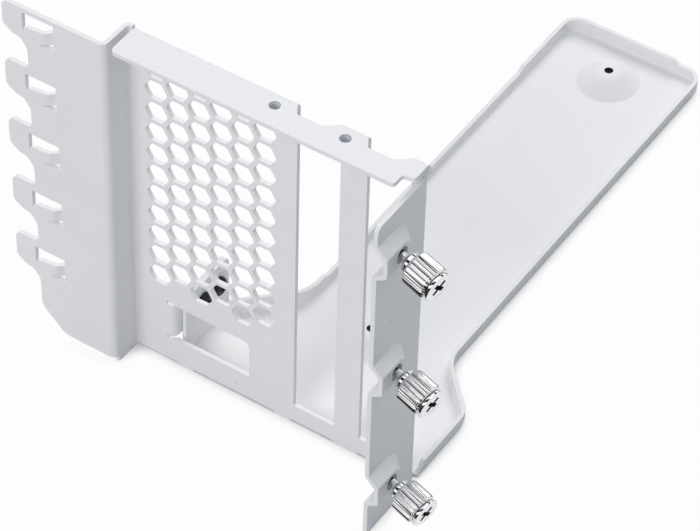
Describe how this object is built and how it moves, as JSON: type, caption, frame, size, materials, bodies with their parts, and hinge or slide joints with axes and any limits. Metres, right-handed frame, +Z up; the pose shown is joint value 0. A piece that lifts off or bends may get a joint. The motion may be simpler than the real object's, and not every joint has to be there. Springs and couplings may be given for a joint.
{
  "type": "vertical gpu bracket",
  "caption": "Folded white steel bracket that holds a graphics card upright: hooked comb plate, hex vent, open card windows, a side plate with captive thumb screws and a long rimmed tray.",
  "frame": {"origin": "midway between the two card screw holes, on the top face of the flange", "axes": "+X runs right along the rear plate as seen from outside the case, +Y goes into the case, +Z is up"},
  "size_m": [0.1346, 0.1979, 0.1133],
  "materials": {
    "white_coat": "fine satin powder coat on steel sheet",
    "black_steel": "black oxide screw",
    "bright_chrome": "bright plated, ribbed grip"
  },
  "bodies": {
    "bracket": {"main_bracket": "white_coat", "support_tray": "white_coat", "tray_screw_front": "black_steel", "tray_screw_rear": "black_steel"},
    "thumb_screw_upper_body": {"thumb_screw_upper": "bright_chrome"},
    "thumb_screw_middle_body": {"thumb_screw_middle": "bright_chrome"},
    "thumb_screw_lower_body": {"thumb_screw_lower": "bright_chrome"}
  },
  "joints": [
    {"name": "thumb_screw_upper_turn", "type": "hinge", "parent": "bracket", "child": "thumb_screw_upper_body", "pos_m": [0.03366, -0.0114, -0.016], "axis": [0.9659, -0.183, -0.183], "continuous": true},
    {"name": "thumb_screw_middle_turn", "type": "hinge", "parent": "bracket", "child": "thumb_screw_middle_body", "pos_m": [0.03366, -0.0114, -0.05664], "axis": [0.9659, -0.183, -0.183], "continuous": true},
    {"name": "thumb_screw_lower_turn", "type": "hinge", "parent": "bracket", "child": "thumb_screw_lower_body", "pos_m": [0.03366, -0.0114, -0.09728], "axis": [0.9659, -0.183, -0.183], "continuous": true}
  ]
}
